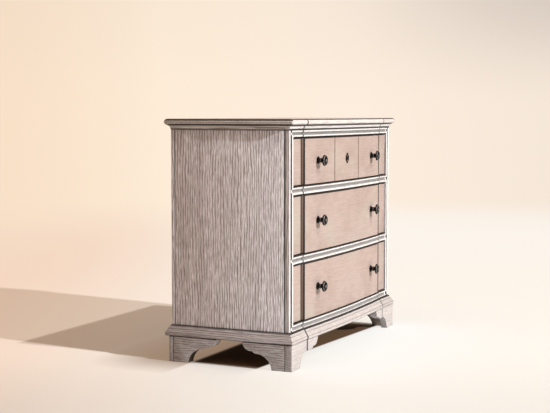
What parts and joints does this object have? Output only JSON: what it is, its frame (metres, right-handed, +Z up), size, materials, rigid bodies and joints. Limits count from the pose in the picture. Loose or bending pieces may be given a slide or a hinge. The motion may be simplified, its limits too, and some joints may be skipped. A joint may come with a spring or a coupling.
{
  "type": "chest of drawers",
  "caption": "Bow-fronted wooden chest of drawers on bracket feet, with turned metal knobs; each drawer slides forward out of the case.",
  "frame": {"origin": "centre of the floor under the chest, midway between its sides and midway between the knob faces and the moulding at the back", "axes": "+X to the viewer's right when facing the drawers, +Y from the front to the back, +Z up; the drawers face -Y"},
  "size_m": [1.0998, 0.5398, 0.9],
  "materials": {
    "washed_wood": "pale greyed whitewash over brushed grain, satin",
    "drawer_field": "light pinkish beige wood with a fine sideways grain, satin",
    "inside_wood": "plain unfinished light wood",
    "dark_bronze": "near black bronze patina, half gloss",
    "steel": "plain machine screws"
  },
  "bodies": {
    "case": {"back_panel": "washed_wood", "base_moulding_back": "washed_wood", "base_moulding_front": "washed_wood", "base_moulding_left": "washed_wood", "base_moulding_right": "washed_wood", "bottom_board": "inside_wood", "bottom_rail": "washed_wood", "bracket_back_left": "washed_wood", "bracket_back_right": "washed_wood", "bracket_front_left": "washed_wood", "bracket_front_right": "washed_wood", "bracket_left_back": "washed_wood", "bracket_left_front": "washed_wood", "bracket_right_back": "washed_wood", "bracket_right_front": "washed_wood", "cove_back": "washed_wood", "cove_front": "washed_wood", "cove_left": "washed_wood", "cove_right": "washed_wood", "front_stile_left": "washed_wood", "front_stile_right": "washed_wood", "lower_rail": "washed_wood", "runner_middle_left": "inside_wood", "runner_middle_right": "inside_wood", "runner_upper_left": "inside_wood", "runner_upper_right": "inside_wood", "side_panel_left": "washed_wood", "side_panel_right": "washed_wood", "top_board": "washed_wood", "top_rail": "washed_wood", "upper_rail": "washed_wood"},
    "upper_drawer": {"drawer_upper_back": "inside_wood", "drawer_upper_bottom": "inside_wood", "drawer_upper_front": "drawer_field", "drawer_upper_keyhole_plate": "dark_bronze", "drawer_upper_knob_left": "dark_bronze", "drawer_upper_knob_right": "dark_bronze", "drawer_upper_screw_left": "steel", "drawer_upper_screw_right": "steel", "drawer_upper_side_left": "inside_wood", "drawer_upper_side_right": "inside_wood"},
    "middle_drawer": {"drawer_middle_back": "inside_wood", "drawer_middle_bottom": "inside_wood", "drawer_middle_front": "drawer_field", "drawer_middle_knob_left": "dark_bronze", "drawer_middle_knob_right": "dark_bronze", "drawer_middle_screw_left": "steel", "drawer_middle_screw_right": "steel", "drawer_middle_side_left": "inside_wood", "drawer_middle_side_right": "inside_wood"},
    "lower_drawer": {"drawer_lower_back": "inside_wood", "drawer_lower_bottom": "inside_wood", "drawer_lower_front": "drawer_field", "drawer_lower_knob_left": "dark_bronze", "drawer_lower_knob_right": "dark_bronze", "drawer_lower_screw_left": "steel", "drawer_lower_screw_right": "steel", "drawer_lower_side_left": "inside_wood", "drawer_lower_side_right": "inside_wood"}
  },
  "joints": [
    {"name": "upper_drawer_slide", "type": "slide", "parent": "case", "child": "upper_drawer", "axis": [0, -1, 0], "range_m": [0, 0.3]},
    {"name": "middle_drawer_slide", "type": "slide", "parent": "case", "child": "middle_drawer", "axis": [0, -1, 0], "range_m": [0, 0.3]},
    {"name": "lower_drawer_slide", "type": "slide", "parent": "case", "child": "lower_drawer", "axis": [0, -1, 0], "range_m": [0, 0.3]}
  ]
}
